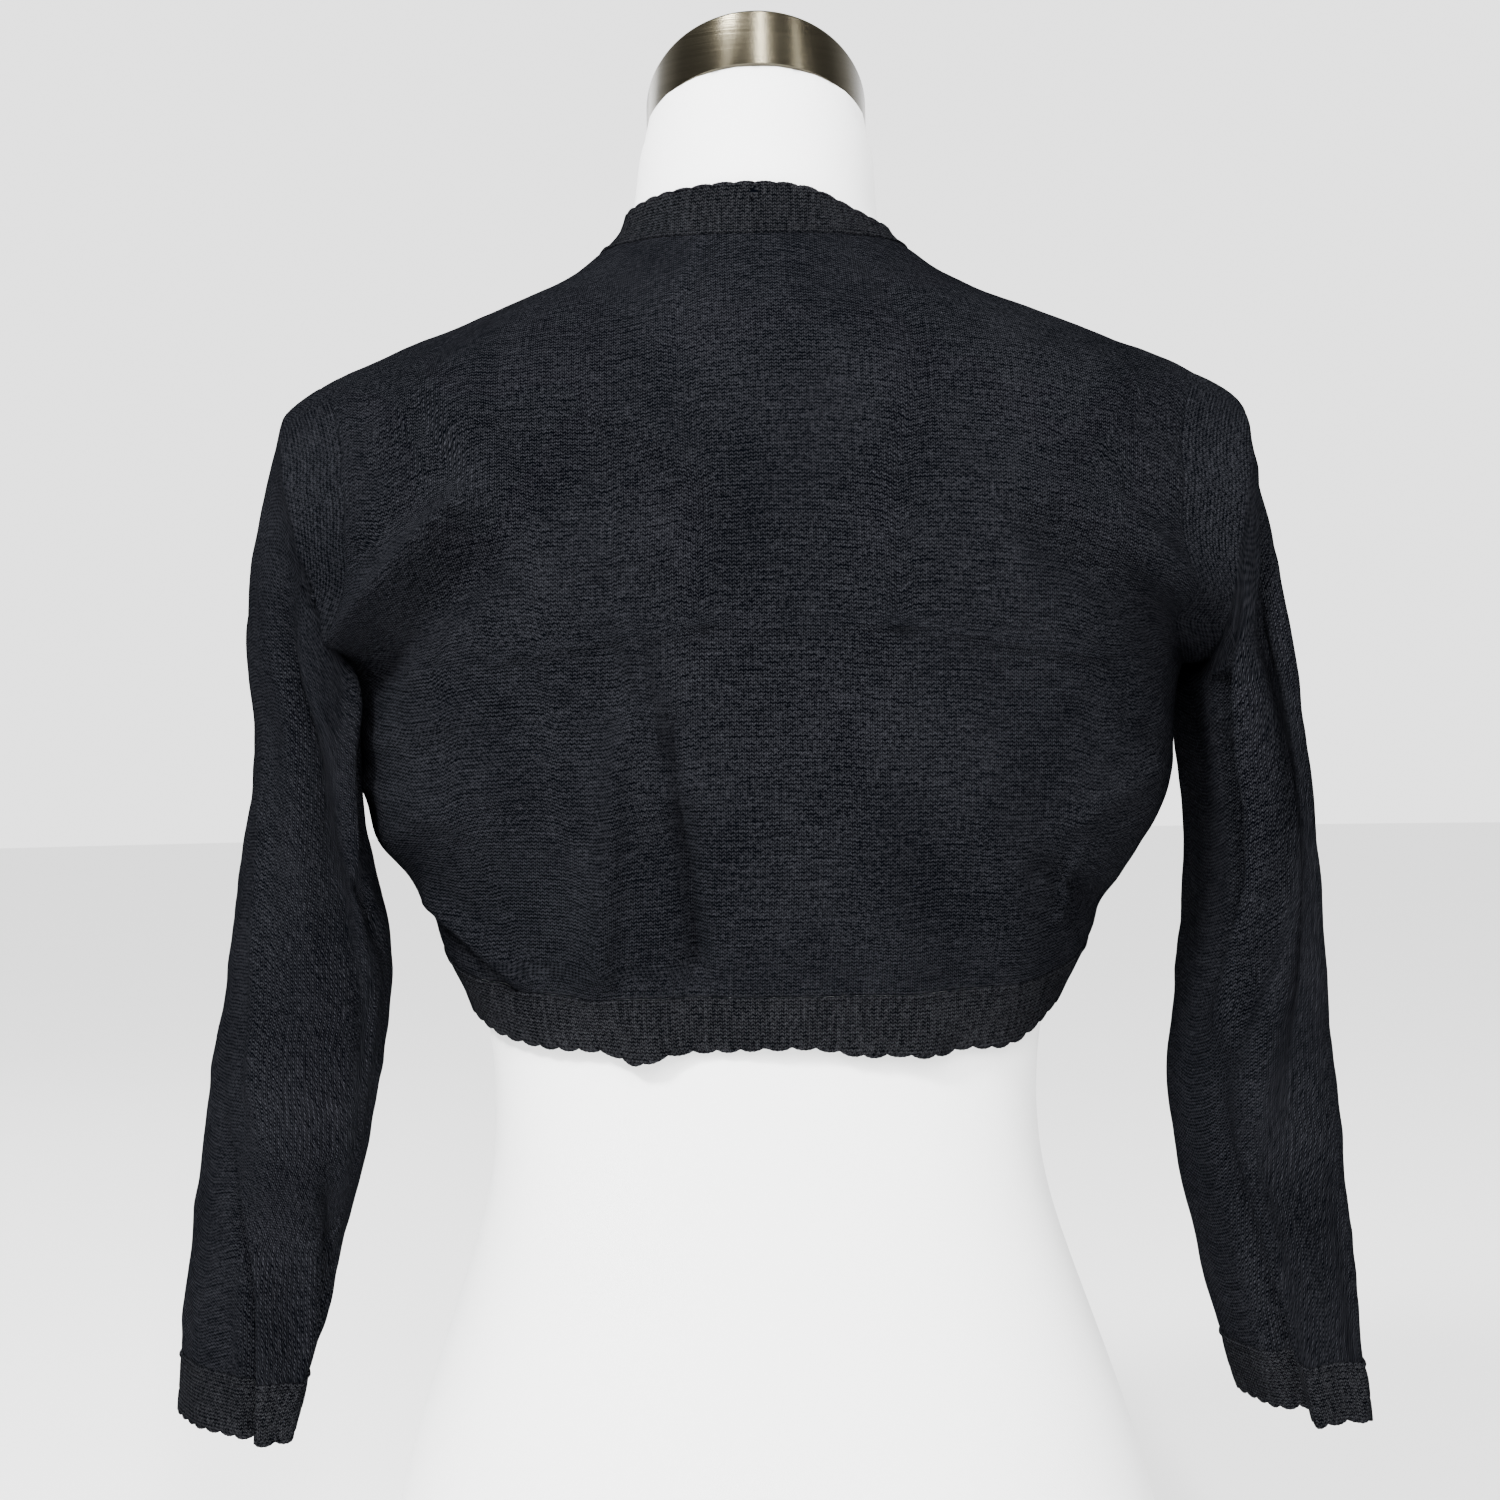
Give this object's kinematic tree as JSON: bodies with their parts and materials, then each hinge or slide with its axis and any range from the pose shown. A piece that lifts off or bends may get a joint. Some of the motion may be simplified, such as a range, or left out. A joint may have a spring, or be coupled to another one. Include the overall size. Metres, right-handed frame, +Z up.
{
  "type": "knitted shrug on dress form",
  "caption": "Cropped open-front knitted shrug with long sleeves and scalloped bands, worn by a limbless dress form with a flat base and a metal neck cap.",
  "frame": {"origin": "centre of the dress form's flat base, on the surface that it stands on", "axes": "+Z up; the garment's back faces -Y and its open front faces +Y; +X is the wearer's right"},
  "size_m": [0.5099, 0.2376, 0.7686],
  "materials": {
    "knit_black": "fine black stocking-stitch knit, soft and matt with a faint bluish bloom",
    "jersey_white": "smooth white stretch jersey over a padded form",
    "brushed_metal": "brushed nickel with fine straight lines"
  },
  "bodies": {
    "root": {"dress_form": "jersey_white", "neck_cap": "brushed_metal", "shrug_back": "knit_black", "shrug_front_left": "knit_black", "shrug_front_right": "knit_black", "sleeve_left": "knit_black", "sleeve_right": "knit_black", "neck_band": "knit_black", "front_band_left": "knit_black", "front_band_right": "knit_black", "hem_band": "knit_black", "cuff_left": "knit_black", "cuff_right": "knit_black"}
  },
  "joints": []
}
